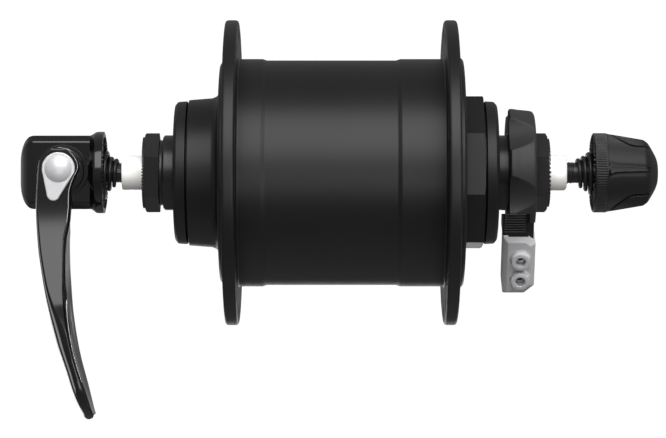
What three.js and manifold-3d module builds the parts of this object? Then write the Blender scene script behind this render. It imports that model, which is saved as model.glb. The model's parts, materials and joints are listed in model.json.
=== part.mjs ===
// Front bicycle hub dynamo for a rim-brake fork, with its quick-release skewer and its lamp connector.
// Millimetres, +Z up. The axle runs along X with the connector at +X, and the origin is on the axle's
// axis, midway between the outer faces of the two locknuts.
import * as THREE from "three";
import { mergeVertices } from "three/addons/utils/BufferGeometryUtils.js";
import Module from "manifold-3d";

const wasm = await Module();
wasm.setup();

// ---------- driving dimensions ----------
const LOCKNUT_FACE = 50; // half of the 100 mm over-locknut width of a front fork
const SEAT = 0.05; // gap between pieces clamped face to face
const GAP = 0.3; // gap between pieces that turn or sit inside one another

const SPOKES_PER_FLANGE = 18;
const SPOKE_HOLE_RADIUS = 1.3;
const SPOKE_CIRCLE_RADIUS = 34.25;
const FLANGE_RADIUS = 37.6;
const FLANGE_EDGE = 0.85;
const LEFT_FLANGE = { outer: -29.65, inner: -26.5 };
const RIGHT_FLANGE = { inner: 24.15, outer: 27.2 };
const BARREL_RADIUS = 27.7;
const BAND_RADIUS = 28.05;
const SHELL_BORE = 25.6;
const SHELL_LEFT_FACE = -38.65;
const SHELL_RIGHT_FACE = 28.7;
const NECK_RADIUS = 17.95;

const END_CAP_FACE = 33.6;
const OCTAGON_ACROSS_FLATS = 36;
const OCTAGON_TURN = 16.5; // degrees about X, from a corner facing forward
const DUST_CAP_RADIUS = 17.65;

const CUP_SEAT_RADIUS = 15.6;
const BALL_RADIUS = 2.4;
const BALL_CIRCLE_RADIUS = 10.9;
const BALL_COUNT = 9;
const BALL_INSET = 2.05; // from the bearing's outer face to the ball centres
const CONE_RADIUS = 9.26;

const AXLE_RADIUS = 4.4;
const AXLE_MIDDLE_RADIUS = 5;
const AXLE_BORE = 2.75;
const AXLE_LEFT_END = -55.2;
const AXLE_RIGHT_END = 54.3;
const AXLE_FIT = 4.6; // bore of everything threaded on the axle
const LEFT_CONE_END = -45;
const RIGHT_CONE_END = 40;
const LOCKNUT_ACROSS_FLATS = 17;
const LOCKNUT_TURN = 7.3; // degrees about X, from a corner facing up
const LEFT_LOCKNUT_INNER = -45.9;
const RIGHT_LOCKNUT_INNER = 46.1;

const COLLAR_RADIUS = 15.7;
const COLLAR_RIGHT_RADIUS = 14.8;
const SCALLOP_COUNT = 6;
const SCALLOP_TURN = 38; // degrees above the forward direction of the first scallop
const SCALLOP_CUTTER_RADIUS = 7;
const COLLAR_FLAT_LEFT = -10.1; // height of the flat that the plug seats under
const COLLAR_FLAT_RIGHT = -12.3; // height of the flat on the cheek beside the plug
const CHEEK_START = 44.7;

const PLUG_TILT = THREE.MathUtils.degToRad(30);
const PLUG_LEFT = 38.85;
const PLUG_RIGHT = 46.4;
const PLUG_HALF_THICKNESS = 3.2;
const COVER = { left: 39.2, right: 47.2, top: 16.3, bottom: 32.5, halfThickness: 4.6 };
const CABLE_BOSS = { x: 43.5, near: 22, far: 27.7, radius: 2.35, hole: 1, stand: 1.9 };
const GRIP_RIBS = 5;
const GRIP_PITCH = 0.92;

const MAGNET_OUTER = 23.7;
const MAGNET_INNER = 21.4;
const MAGNET_HALF_LENGTH = 16;
const MAGNET_COUNT = 4;
const STATOR_RADIUS = 20.9;
const CLAW_COUNT = 14;
const CLAW_FACE = 15.5; // outer face of each claw pole's disc
const CLAW_DISC = 1.8;
const CORE_TUBE_RADIUS = 7.6;
const COIL_HALF_LENGTH = 12.3;
const COIL_OUTER = 18.3;
const COIL_INNER = 9.7;

const ROD_RADIUS = 2.4;
const WIRE_RADIUS = 0.5; // spring wire, and the copper lead
const HEAD_FACE = -59.3;
const HEAD_END = -80.2;
const HEAD_HALF = 9;
const HEAD_RING_RADIUS = 10.1;
const HEAD_BORE = 6.9;
const PIVOT_X = -69.8;
const PIVOT_Z = 0.8;
const CAM_THROW = 1;
const CAM_RADIUS = 2.8;
const JOURNAL_RADIUS = 4.4;
const HEAD_BOSS_FRONT = -9.9;
const LEVER_BACK = -10.2;
const LEVER_FRONT = -12.9;
const NUT_FACE = 60.5;
const NUT_END = 76.8;
const NUT_RING_RADIUS = 9.8;
const NUT_TIP_RADIUS = 8.15;
const SPRING_SEAT_RADIUS = 7.4;

// sides of the turned pieces
const SHELL_FACETS = 32;
const BEARING_FACETS = 24;
const AXLE_FACETS = 18;
const SKEWER_FACETS = 24;

// ---------- solids ----------
function toSolid(geometry) {
  const bare = geometry.index ? geometry.toNonIndexed() : geometry.clone();
  bare.deleteAttribute("normal");
  bare.deleteAttribute("uv");
  const merged = mergeVertices(bare, 1e-4);
  const index = merged.index.array;
  const corners = [];
  for (let i = 0; i < index.length; i += 3) {
    const [a, b, c] = [index[i], index[i + 1], index[i + 2]];
    if (a !== b && b !== c && c !== a) corners.push(a, b, c);
  }
  const vertProperties = new Float32Array(merged.attributes.position.array);
  const build = (list) =>
    new wasm.Manifold(new wasm.Mesh({ numProp: 3, vertProperties, triVerts: new Uint32Array(list) }));
  const solid = build(corners);
  return solid.volume() > 0 ? solid : build(corners.reverse());
}

function toGeometry(solid) {
  const mesh = solid.getMesh();
  const geometry = new THREE.BufferGeometry();
  geometry.setAttribute("position", new THREE.BufferAttribute(new Float32Array(mesh.vertProperties), 3));
  geometry.setIndex(new THREE.BufferAttribute(new Uint32Array(mesh.triVerts), 1));
  geometry.computeVertexNormals();
  return geometry;
}

const unite = (...solids) => solids.reduce((sum, next) => sum.add(next));
const cut = (solid, ...tools) => tools.reduce((left, tool) => left.subtract(tool), solid);

// a ring or disc about X from the [x, radius] corners of its half section
function revolve(corners, segments) {
  const onAxis = corners[0][1] === 0;
  const profile = onAxis ? corners : [...corners, corners[0]];
  const points = profile.map(([x, radius]) => new THREE.Vector2(radius, x));
  return toSolid(new THREE.LatheGeometry(points, segments).rotateZ(-Math.PI / 2));
}

function box(x, y, z) {
  const geometry = new THREE.BoxGeometry(x[1] - x[0], y[1] - y[0], z[1] - z[0]);
  return toSolid(geometry.translate((x[0] + x[1]) / 2, (y[0] + y[1]) / 2, (z[0] + z[1]) / 2));
}

function rodAlongX(x, radius, segments, y = 0, z = 0) {
  const geometry = new THREE.CylinderGeometry(radius, radius, x[1] - x[0], segments);
  return toSolid(geometry.rotateZ(-Math.PI / 2).translate((x[0] + x[1]) / 2, y, z));
}

function rodAlongY(y, radius, segments, x, z) {
  const geometry = new THREE.CylinderGeometry(radius, radius, y[1] - y[0], segments);
  return toSolid(geometry.translate(x, (y[0] + y[1]) / 2, z));
}

// an XZ outline given a thickness along Y
function plateAlongY(shape, y, curveSegments = 8) {
  const settings = { depth: y[1] - y[0], bevelEnabled: false, curveSegments };
  const geometry = new THREE.ExtrudeGeometry(shape, settings);
  return toSolid(geometry.rotateX(Math.PI / 2).translate(0, y[1], 0));
}

// a YZ outline given a length along X
function plateAlongX(shape, x, curveSegments = 8) {
  const settings = { depth: x[1] - x[0], bevelEnabled: false, curveSegments };
  const geometry = new THREE.ExtrudeGeometry(shape, settings);
  return toSolid(geometry.rotateX(Math.PI / 2).rotateZ(Math.PI / 2).translate(x[0], 0, 0));
}

// a regular prism about X, with its end corners taken off by a chamfer
function nutPrism(sides, acrossFlats, x, turn, chamfer) {
  const corner = acrossFlats / 2 / Math.cos(Math.PI / sides);
  const geometry = new THREE.CylinderGeometry(corner, corner, x[1] - x[0], sides);
  geometry.rotateZ(-Math.PI / 2).translate((x[0] + x[1]) / 2, 0, 0);
  geometry.rotateX(THREE.MathUtils.degToRad(turn));
  const turned = revolve(
    [
      [x[0], 0],
      [x[0], corner - chamfer],
      [x[0] + chamfer / 2, corner],
      [x[1] - chamfer / 2, corner],
      [x[1], corner - chamfer],
      [x[1], 0],
    ],
    AXLE_FACETS
  );
  return toSolid(geometry).intersect(turned);
}

function sweep(path, steps, radius, sides) {
  const circle = new THREE.Shape();
  for (let i = 0; i < sides; i += 1) {
    const angle = (2 * Math.PI * i) / sides;
    const corner = [radius * Math.cos(angle), radius * Math.sin(angle)];
    if (i === 0) circle.moveTo(...corner);
    else circle.lineTo(...corner);
  }
  circle.closePath();
  return toSolid(new THREE.ExtrudeGeometry(circle, { steps, bevelEnabled: false, extrudePath: path }));
}

const aboutX = (solid, degrees) => solid.rotate([degrees, 0, 0]);

// ---------- scene graph ----------
const hub = new THREE.Group();
const axleUnit = new THREE.Group();
const shellUnit = new THREE.Group();
const skewer = new THREE.Group();
const connector = new THREE.Group();
connector.rotation.x = PLUG_TILT;
hub.add(axleUnit, shellUnit, skewer, connector);

const FINISHES = {
  satinBlack: { color: 0x2b2b2c, roughness: 0.45, metalness: 0.4 },
  blackPlastic: { color: 0x1c1c1d, roughness: 0.6, metalness: 0 },
  glossBlack: { color: 0x121212, roughness: 0.2, metalness: 0.1 },
  greyPlastic: { color: 0x8a8a88, roughness: 0.55, metalness: 0 },
  brightSteel: { color: 0xd8d6d2, roughness: 0.3, metalness: 0.9 },
  bearingSteel: { color: 0x9a9a9c, roughness: 0.2, metalness: 1 },
  blackSteel: { color: 0x303032, roughness: 0.4, metalness: 0.7 },
  copper: { color: 0xb06a3a, roughness: 0.35, metalness: 0.9 },
  brass: { color: 0xc2a050, roughness: 0.35, metalness: 0.9 },
  ferrite: { color: 0x3a3a3c, roughness: 0.7, metalness: 0.2 },
  softIron: { color: 0x77787a, roughness: 0.5, metalness: 0.8 },
  whiteNylon: { color: 0xe2e0d8, roughness: 0.5, metalness: 0 },
  rubber: { color: 0x161616, roughness: 0.9, metalness: 0 },
};

function place(parent, name, solid, finish, x = 0) {
  const mesh = new THREE.Mesh(toGeometry(solid), new THREE.MeshStandardMaterial(FINISHES[finish]));
  mesh.name = name;
  mesh.position.x = x;
  parent.add(mesh);
  return mesh;
}

// ---------- hub shell ----------
function hubShell() {
  const rim = FLANGE_RADIUS - FLANGE_EDGE;
  const { outer: a, inner: b } = LEFT_FLANGE;
  const { inner: c, outer: d } = RIGHT_FLANGE;
  let shell = revolve(
    [
      [SHELL_LEFT_FACE, CUP_SEAT_RADIUS],
      [SHELL_LEFT_FACE, NECK_RADIUS],
      [-32.9, 18.4],
      [-31.7, 18.9],
      [-31.2, 20],
      [-30.9, 26.6],
      [-30.3, 27.5],
      [a, 27.5],
      [a, rim],
      [a + FLANGE_EDGE * 0.7, FLANGE_RADIUS],
      [b - FLANGE_EDGE * 0.7, FLANGE_RADIUS],
      [b, rim],
      [b, BAND_RADIUS],
      [-20.5, BAND_RADIUS],
      [-19.5, BARREL_RADIUS],
      [12.3, BARREL_RADIUS],
      [13.3, BAND_RADIUS],
      [c, BAND_RADIUS],
      [c, rim],
      [c + FLANGE_EDGE * 0.7, FLANGE_RADIUS],
      [d - FLANGE_EDGE * 0.7, FLANGE_RADIUS],
      [d, rim],
      [d, 28.35],
      [SHELL_RIGHT_FACE - 0.5, 28.35],
      [SHELL_RIGHT_FACE, 27.8],
      [SHELL_RIGHT_FACE, SHELL_BORE],
      [-25.5, SHELL_BORE],
      [-25.5, 12.5],
      [-33, 12.5],
      [-33, CUP_SEAT_RADIUS],
    ],
    SHELL_FACETS
  );
  for (let i = 0; i < SPOKES_PER_FLANGE; i += 1) {
    for (const [flange, offset] of [[LEFT_FLANGE, 0], [RIGHT_FLANGE, 0.5]]) {
      const angle = (2 * Math.PI * (i + offset)) / SPOKES_PER_FLANGE;
      const y = SPOKE_CIRCLE_RADIUS * Math.cos(angle);
      const z = SPOKE_CIRCLE_RADIUS * Math.sin(angle);
      const span = [Math.min(flange.outer, flange.inner) - 1, Math.max(flange.outer, flange.inner) + 1];
      shell = shell.subtract(rodAlongX(span, SPOKE_HOLE_RADIUS, 6, y, z));
    }
  }
  place(shellUnit, "hub_shell", shell, "satinBlack");
}

function rightEndCap() {
  const spigotStart = 22.5;
  const spigotEnd = SHELL_RIGHT_FACE - 0.2;
  const disc = revolve(
    [
      [spigotStart, 17],
      [spigotStart, SHELL_BORE - GAP],
      [24.4, SHELL_BORE - GAP],
      [24.4, 24],
      [26, 24],
      [26, SHELL_BORE - GAP],
      [spigotEnd, SHELL_BORE - GAP],
      [spigotEnd, CUP_SEAT_RADIUS],
      [25, CUP_SEAT_RADIUS],
      [25, 17],
    ],
    SHELL_FACETS
  );
  const octagon = nutPrism(8, OCTAGON_ACROSS_FLATS, [27, END_CAP_FACE], OCTAGON_TURN, 0.6);
  const bore = rodAlongX([20, END_CAP_FACE + 1], CUP_SEAT_RADIUS, SHELL_FACETS);
  place(shellUnit, "right_end_cap", unite(disc, cut(octagon, bore)), "satinBlack");

  const sealX = 25.2;
  const sealRadius = 24.75;
  const sealSection = 0.55;
  const corners = [];
  for (let i = 0; i < 4; i += 1) {
    const angle = (Math.PI * i) / 2;
    corners.push([sealX + sealSection * Math.cos(angle), sealRadius + sealSection * Math.sin(angle)]);
  }
  place(shellUnit, "end_cap_seal", revolve(corners, BEARING_FACETS), "rubber");
}

// ---------- bearings, drawn facing +X from the bearing's outer face at x = 0 ----------
function bearingCup() {
  const outer = CUP_SEAT_RADIUS - GAP;
  return revolve(
    [
      [-5.35, outer],
      [-5.35, 11.6],
      [-4.7, 11.6],
      [-4, 13.55],
      [-0.65, 13.55],
      [-0.65, outer],
    ],
    BEARING_FACETS
  );
}

function ballSet() {
  let set = revolve(
    [
      [-BALL_INSET - 0.6, 10.3],
      [-BALL_INSET - 0.6, 11.5],
      [-BALL_INSET + 0.6, 11.5],
      [-BALL_INSET + 0.6, 10.3],
    ],
    18
  );
  for (let i = 0; i < BALL_COUNT; i += 1) {
    const angle = (2 * Math.PI * i) / BALL_COUNT;
    const ball = new THREE.OctahedronGeometry(BALL_RADIUS, 1);
    ball.translate(-BALL_INSET, BALL_CIRCLE_RADIUS * Math.cos(angle), BALL_CIRCLE_RADIUS * Math.sin(angle));
    set = set.add(toSolid(ball));
  }
  return set;
}

function bearingCone(neckEnd) {
  return revolve(
    [
      [-4.45, AXLE_FIT],
      [-4.45, 8.25],
      [-0.25, 8.25],
      [0.85, 10.6],
      [1.45, 10.6],
      [1.65, CONE_RADIUS],
      [neckEnd - 0.6, CONE_RADIUS],
      [neckEnd, CONE_RADIUS - 0.45],
      [neckEnd, AXLE_FIT],
    ],
    AXLE_FACETS
  );
}

function dustCap(start, end) {
  const opening = CONE_RADIUS + 0.5;
  return revolve(
    [
      [-0.35, 13.9],
      [-0.35, CUP_SEAT_RADIUS - GAP],
      [start, CUP_SEAT_RADIUS - GAP],
      [start, DUST_CAP_RADIUS],
      [end - 1, DUST_CAP_RADIUS - 0.2],
      [end, DUST_CAP_RADIUS - 1.2],
      [end, opening],
      [end - 1.1, opening],
      [end - 1.1, 12],
      [start, 12],
      [start, 13.9],
    ],
    SHELL_FACETS
  );
}

function bearings() {
  const sides = [
    { name: "left", face: SHELL_LEFT_FACE, turn: Math.PI, cap: [0.35, 3.35], coneEnd: LEFT_CONE_END },
    { name: "right", face: END_CAP_FACE, turn: 0, cap: [0.45, 3.3], coneEnd: RIGHT_CONE_END },
  ];
  for (const { name, face, turn, cap, coneEnd } of sides) {
    const neckEnd = Math.abs(coneEnd - face);
    const pieces = [
      place(shellUnit, `${name}_bearing_cup`, bearingCup(), "bearingSteel", face),
      place(shellUnit, `${name}_balls`, ballSet(), "bearingSteel", face),
      place(axleUnit, `${name}_cone`, bearingCone(neckEnd), "blackSteel", face),
      place(shellUnit, `${name}_dust_cap`, dustCap(...cap), "blackPlastic", face),
    ];
    for (const piece of pieces) piece.rotation.z = turn;
  }
}

// ---------- axle and its hardware ----------
const LEAD_GROOVE = { start: 20.7, end: 44.2, floor: 3.2, halfWidth: 0.8 };

function hollowAxle() {
  const turned = revolve(
    [
      [AXLE_LEFT_END, AXLE_BORE],
      [AXLE_LEFT_END, 3.9],
      [AXLE_LEFT_END + 0.3, 4.22],
      [-49.6, 4.22],
      [-49.6, AXLE_RADIUS],
      [-22.5, AXLE_RADIUS],
      [-22.5, AXLE_MIDDLE_RADIUS],
      [22.5, AXLE_MIDDLE_RADIUS],
      [22.5, AXLE_RADIUS],
      [AXLE_RIGHT_END - 0.8, AXLE_RADIUS],
      [AXLE_RIGHT_END - 0.3, 4.15],
      [AXLE_RIGHT_END, 3.6],
      [AXLE_RIGHT_END, AXLE_BORE],
    ],
    AXLE_FACETS
  );
  const { start, end, floor, halfWidth } = LEAD_GROOVE;
  const groove = box([start, end], [-halfWidth, halfWidth], [-8, -floor]);
  place(axleUnit, "hollow_axle", cut(turned, aboutX(groove, 30)), "brightSteel");
}

function locknut(name, x) {
  const bore = rodAlongX([x[0] - 1, x[1] + 1], AXLE_FIT, AXLE_FACETS);
  const prism = nutPrism(6, LOCKNUT_ACROSS_FLATS, x, LOCKNUT_TURN, 0.55);
  place(axleUnit, name, cut(prism, bore), "blackSteel");
}

function axleHardware() {
  locknut("left_locknut", [-LOCKNUT_FACE, LEFT_LOCKNUT_INNER]);
  locknut("right_locknut", [RIGHT_LOCKNUT_INNER + SEAT, LOCKNUT_FACE]);
  const spacer = [
    [LEFT_LOCKNUT_INNER + SEAT, AXLE_FIT],
    [LEFT_LOCKNUT_INNER + SEAT, 8.07],
    [LEFT_CONE_END - SEAT, 8.07],
    [LEFT_CONE_END - SEAT, AXLE_FIT],
  ];
  place(axleUnit, "left_spacer", revolve(spacer, AXLE_FACETS), "blackSteel");
}

// ---------- terminal collar with its contact tongue ----------
function scallopCutter(degreesAboveFront) {
  const length = 20;
  const depthAtLeft = 2.4;
  const slope = 0.22;
  const tool = new THREE.CylinderGeometry(SCALLOP_CUTTER_RADIUS, SCALLOP_CUTTER_RADIUS, length, 24);
  const rise = Math.atan(slope);
  tool.rotateZ(-Math.PI / 2).rotateY(-rise);
  const floor = COLLAR_RADIUS - depthAtLeft;
  tool.translate(RIGHT_CONE_END, 0, floor + SCALLOP_CUTTER_RADIUS / Math.cos(rise));
  return aboutX(toSolid(tool), 90 - degreesAboveFront);
}

const TONGUE = { x: [40.6, 44], halfThickness: 1.3, end: 16 };
const BLADE = { x: [41.1, 43.5], thickness: 0.35 };

function terminalCollar() {
  const left = RIGHT_CONE_END + SEAT;
  const right = RIGHT_LOCKNUT_INNER;
  let collar = revolve(
    [
      [left, AXLE_FIT],
      [left, COLLAR_RADIUS - 0.35],
      [left + 0.35, COLLAR_RADIUS],
      [right - 1.1, COLLAR_RIGHT_RADIUS + 0.15],
      [right - 0.35, COLLAR_RIGHT_RADIUS - 0.25],
      [right, COLLAR_RIGHT_RADIUS - 1],
      [right, AXLE_FIT],
    ],
    SHELL_FACETS
  );
  for (let i = 0; i < SCALLOP_COUNT; i += 1) {
    collar = collar.subtract(scallopCutter(SCALLOP_TURN + (360 / SCALLOP_COUNT) * i));
  }
  const below = [-20, COLLAR_FLAT_LEFT];
  const plugPocket = box([left - 1, CHEEK_START], [-20, 20], below);
  const cheekEnd = box([CHEEK_START - 1, right + 1], [-20, 20], [-20, COLLAR_FLAT_RIGHT]);
  collar = cut(collar, plugPocket, cheekEnd);
  const tongue = box(TONGUE.x, [-TONGUE.halfThickness, TONGUE.halfThickness], [-TONGUE.end, -6]);
  const leadPassage = box([42.2, 43.8], [-0.8, 0.8], [-9.2, -3]);
  collar = cut(unite(collar, aboutX(tongue, 30)), aboutX(leadPassage, 30));
  place(axleUnit, "terminal_collar", collar, "blackPlastic");
}

function terminalBlade(name, side) {
  const inner = side * (TONGUE.halfThickness + 0.1);
  const outer = inner + side * BLADE.thickness;
  const y = [Math.min(inner, outer), Math.max(inner, outer)];
  place(connector, name, box(BLADE.x, y, [-TONGUE.end + 0.6, -13.1]), "brass");
}

function leadWire() {
  const centre = LEAD_GROOVE.floor + WIRE_RADIUS + 0.12;
  const route = new THREE.CurvePath();
  const corners = [
    [COIL_HALF_LENGTH + 0.3, 16],
    [21.3, 16],
    [21.3, centre],
    [43, centre],
    [43, 8.8],
  ].map(([x, radius]) => new THREE.Vector3(x, 0, -radius));
  const bend = 0.9;
  let from = corners[0];
  for (let i = 1; i < corners.length; i += 1) {
    const back = corners[i - 1].clone().sub(corners[i]).setLength(bend).add(corners[i]);
    const last = i === corners.length - 1;
    route.add(new THREE.LineCurve3(from, last ? corners[i] : back));
    if (last) break;
    const onward = corners[i + 1].clone().sub(corners[i]).setLength(bend).add(corners[i]);
    route.add(new THREE.QuadraticBezierCurve3(back, corners[i], onward));
    from = onward;
  }
  place(connector, "lead_wire", sweep(route, 44, WIRE_RADIUS, 5), "copper");
}

// ---------- plug on the contact tongue ----------
function plugHousing() {
  const t = PLUG_HALF_THICKNESS;
  const top = box([PLUG_LEFT, PLUG_RIGHT], [-t, t], [-COVER.top + 0.15, -6]);
  const shoulder = box([CHEEK_START - 0.1, PLUG_RIGHT + 1], [-t - 1, -t + 1.6], [-20, -5]);
  const stem = box([40.4, 45.4], [-t, t], [-24, -COVER.top + 0.5]);
  const socket = box([TONGUE.x[0] - GAP, TONGUE.x[1] + GAP], [-2.2, 2.2], [-17, -4]);
  let housing = cut(unite(cut(top, shoulder), stem), socket);
  for (let i = 0; i < GRIP_RIBS; i += 1) {
    const z = -14.35 + GRIP_PITCH * i;
    const rib = box([PLUG_LEFT + 0.3, CHEEK_START - 0.3], [-t - 0.35, -t + 0.5], [z, z + 0.45]);
    housing = housing.add(rib);
  }
  const aboveFlat = box([30, 60], [-30, 30], [COLLAR_FLAT_LEFT - GAP, 30]);
  const besideCheek = box([CHEEK_START - GAP, 60], [-30, 30], [COLLAR_FLAT_RIGHT - GAP, 30]);
  housing = cut(housing, aboutX(aboveFlat, -30), aboutX(besideCheek, -30));
  place(connector, "plug_housing", housing, "blackPlastic");
}

function plugCover() {
  const { left, right, top, bottom, halfThickness: t } = COVER;
  const outline = new THREE.Shape();
  outline.moveTo(left, -top);
  outline.lineTo(right - 2.2, -top);
  outline.lineTo(right, -top - 1.7);
  outline.lineTo(right, -bottom + 2.3);
  outline.lineTo(right - 2.5, -bottom);
  outline.lineTo(left, -bottom);
  outline.closePath();
  const body = plateAlongY(outline, [-t, t]);
  const pocket = box([40.1, 45.7], [-t + 1.1, t - 1.1], [-bottom + 1.6, -top + 1]);
  let cover = cut(body, pocket);
  for (const distance of [CABLE_BOSS.near, CABLE_BOSS.far]) {
    const { x, radius, hole, stand } = CABLE_BOSS;
    const boss = rodAlongY([-t - stand, -t + 0.6], radius, 16, x, -distance);
    const bore = rodAlongY([-t - stand - 1, -t + 2], hole, 12, x, -distance);
    cover = cut(cover.add(boss), bore);
  }
  place(connector, "plug_cover", cover, "greyPlastic");
}

// ---------- generator ----------
function magnets() {
  const yoke = [
    [-17, MAGNET_OUTER + GAP],
    [-17, SHELL_BORE - GAP],
    [17, SHELL_BORE - GAP],
    [17, MAGNET_OUTER + GAP],
  ];
  place(shellUnit, "magnet_yoke", revolve(yoke, SHELL_FACETS), "softIron");
  const halfSpan = THREE.MathUtils.degToRad(360 / MAGNET_COUNT / 2 - 2.5);
  for (let i = 0; i < MAGNET_COUNT; i += 1) {
    const arc = new THREE.Shape();
    arc.absarc(0, 0, MAGNET_OUTER, -halfSpan, halfSpan, false);
    arc.absarc(0, 0, MAGNET_INNER, halfSpan, -halfSpan, true);
    arc.closePath();
    const tile = plateAlongX(arc, [-MAGNET_HALF_LENGTH, MAGNET_HALF_LENGTH], 6);
    const mesh = place(shellUnit, `magnet_${i + 1}`, tile, "ferrite");
    mesh.rotation.x = (2 * Math.PI * i) / MAGNET_COUNT;
  }
}

function clawPole(offset) {
  const inner = CLAW_FACE - CLAW_DISC;
  const clawTip = -11.5;
  let pole = revolve(
    [
      [inner, CORE_TUBE_RADIUS + GAP],
      [inner, STATOR_RADIUS - 0.2],
      [CLAW_FACE, STATOR_RADIUS - 0.2],
      [CLAW_FACE, CORE_TUBE_RADIUS + GAP],
    ],
    2 * CLAW_COUNT
  );
  const claw = new THREE.Shape();
  claw.moveTo(CLAW_FACE, -1.9);
  claw.lineTo(CLAW_FACE, 1.9);
  claw.lineTo(clawTip, 1.2);
  claw.lineTo(clawTip, -1.2);
  claw.closePath();
  const settings = { depth: STATOR_RADIUS - 19.2, bevelEnabled: false };
  for (let i = 0; i < CLAW_COUNT; i += 1) {
    const geometry = new THREE.ExtrudeGeometry(claw, settings).translate(0, 0, 19.2);
    pole = pole.add(aboutX(toSolid(geometry), (360 * (i + offset)) / CLAW_COUNT));
  }
  return pole;
}

function stator() {
  const leadHole = aboutX(box([10, 18], [-0.9, 0.9], [-17, -15]), 30);
  place(axleUnit, "right_claw_pole", cut(clawPole(0), leadHole), "softIron");
  const mirrored = clawPole(0.5).rotate([0, 0, 180]);
  place(axleUnit, "left_claw_pole", mirrored, "softIron");

  const cheek = COIL_HALF_LENGTH + GAP;
  const bobbin = revolve(
    [
      [-cheek - 0.8, CORE_TUBE_RADIUS + GAP],
      [-cheek - 0.8, 18.8],
      [-cheek, 18.8],
      [-cheek, COIL_INNER - GAP],
      [cheek, COIL_INNER - GAP],
      [cheek, 18.8],
      [cheek + 0.8, 18.8],
      [cheek + 0.8, CORE_TUBE_RADIUS + GAP],
    ],
    BEARING_FACETS
  );
  place(axleUnit, "coil_bobbin", cut(bobbin, leadHole), "whiteNylon");
  const winding = [
    [-COIL_HALF_LENGTH, COIL_INNER],
    [-COIL_HALF_LENGTH, COIL_OUTER],
    [COIL_HALF_LENGTH, COIL_OUTER],
    [COIL_HALF_LENGTH, COIL_INNER],
  ];
  place(axleUnit, "coil_winding", revolve(winding, BEARING_FACETS), "copper");

  const tube = [
    [-CLAW_FACE, AXLE_MIDDLE_RADIUS + GAP],
    [-CLAW_FACE, CORE_TUBE_RADIUS],
    [CLAW_FACE, CORE_TUBE_RADIUS],
    [CLAW_FACE, AXLE_MIDDLE_RADIUS + GAP],
  ];
  place(axleUnit, "core_tube", revolve(tube, AXLE_FACETS), "softIron");

  const washer = { inner: CLAW_FACE + SEAT, outer: 17.2 };
  const nut = { inner: washer.outer + SEAT, outer: 20.5, acrossFlats: 15 };
  for (const [name, turn] of [["left", Math.PI], ["right", 0]]) {
    const ring = [
      [washer.inner, AXLE_MIDDLE_RADIUS + GAP],
      [washer.inner, 14],
      [washer.outer, 14],
      [washer.outer, AXLE_MIDDLE_RADIUS + GAP],
    ];
    const prism = nutPrism(6, nut.acrossFlats, [nut.inner, nut.outer], 0, 0.5);
    const bore = rodAlongX([nut.inner - 1, nut.outer + 1], AXLE_MIDDLE_RADIUS + GAP, AXLE_FACETS);
    const washerMesh = place(axleUnit, `${name}_stator_washer`, revolve(ring, AXLE_FACETS), "softIron");
    const nutMesh = place(axleUnit, `${name}_stator_nut`, cut(prism, bore), "bearingSteel");
    washerMesh.rotation.z = turn;
    nutMesh.rotation.z = turn;
  }
}

// ---------- quick-release skewer ----------
class ConicalCoil extends THREE.Curve {
  constructor(startX, endX, endRadius, turns) {
    super();
    const startRadius = ROD_RADIUS + WIRE_RADIUS + 0.15;
    Object.assign(this, { startX, endX, startRadius, endRadius, turns, flare: 2.4 });
  }

  getPoint(t, target = new THREE.Vector3()) {
    const radius = this.startRadius + (this.endRadius - this.startRadius) * t ** this.flare;
    const angle = 2 * Math.PI * this.turns * t;
    const x = this.startX + (this.endX - this.startX) * t;
    return target.set(x, radius * Math.cos(angle), radius * Math.sin(angle));
  }
}

function springs() {
  const wide = SPRING_SEAT_RADIUS - WIRE_RADIUS - 0.35;
  const left = new ConicalCoil(AXLE_LEFT_END - 1.15, HEAD_FACE - 0.45, wide, 2.9);
  const right = new ConicalCoil(AXLE_RIGHT_END + 2.6, NUT_FACE + 0.4, wide, 3.2);
  place(skewer, "left_spring", sweep(left, 36, WIRE_RADIUS, 5), "blackSteel");
  place(skewer, "right_spring", sweep(right, 40, WIRE_RADIUS, 5), "blackSteel");
}

function skewerRod() {
  const slotHalf = CAM_RADIUS + GAP;
  const wall = 1.2;
  const camX = PIVOT_X - CAM_THROW;
  const halfHeight = CAM_THROW + slotHalf;
  const eyeThickness = 2.6;
  const racetrack = (radius) => {
    const outline = new THREE.Shape();
    outline.absarc(camX, PIVOT_Z + halfHeight - slotHalf, radius, 0, Math.PI, false);
    outline.absarc(camX, PIVOT_Z - halfHeight + slotHalf, radius, Math.PI, 2 * Math.PI, false);
    outline.closePath();
    return outline;
  };
  const eye = plateAlongY(racetrack(slotHalf + wall), [-eyeThickness, eyeThickness], 6);
  const slot = plateAlongY(racetrack(slotHalf), [-eyeThickness - 1, eyeThickness + 1], 6);
  const shank = revolve(
    [
      [camX + slotHalf + 0.6, 0],
      [camX + slotHalf + 0.6, ROD_RADIUS],
      [68.6, ROD_RADIUS],
      [69, ROD_RADIUS - 0.4],
      [69, 0],
    ],
    16
  );
  place(skewer, "skewer_rod", cut(unite(eye, shank), slot), "blackSteel");
}

function roundedSquare(half, radius) {
  const outline = new THREE.Shape();
  const c = half - radius;
  outline.absarc(c, c, radius, 0, Math.PI / 2, false);
  outline.absarc(-c, c, radius, Math.PI / 2, Math.PI, false);
  outline.absarc(-c, -c, radius, Math.PI, 1.5 * Math.PI, false);
  outline.absarc(c, -c, radius, 1.5 * Math.PI, 2 * Math.PI, false);
  outline.closePath();
  return outline;
}

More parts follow.
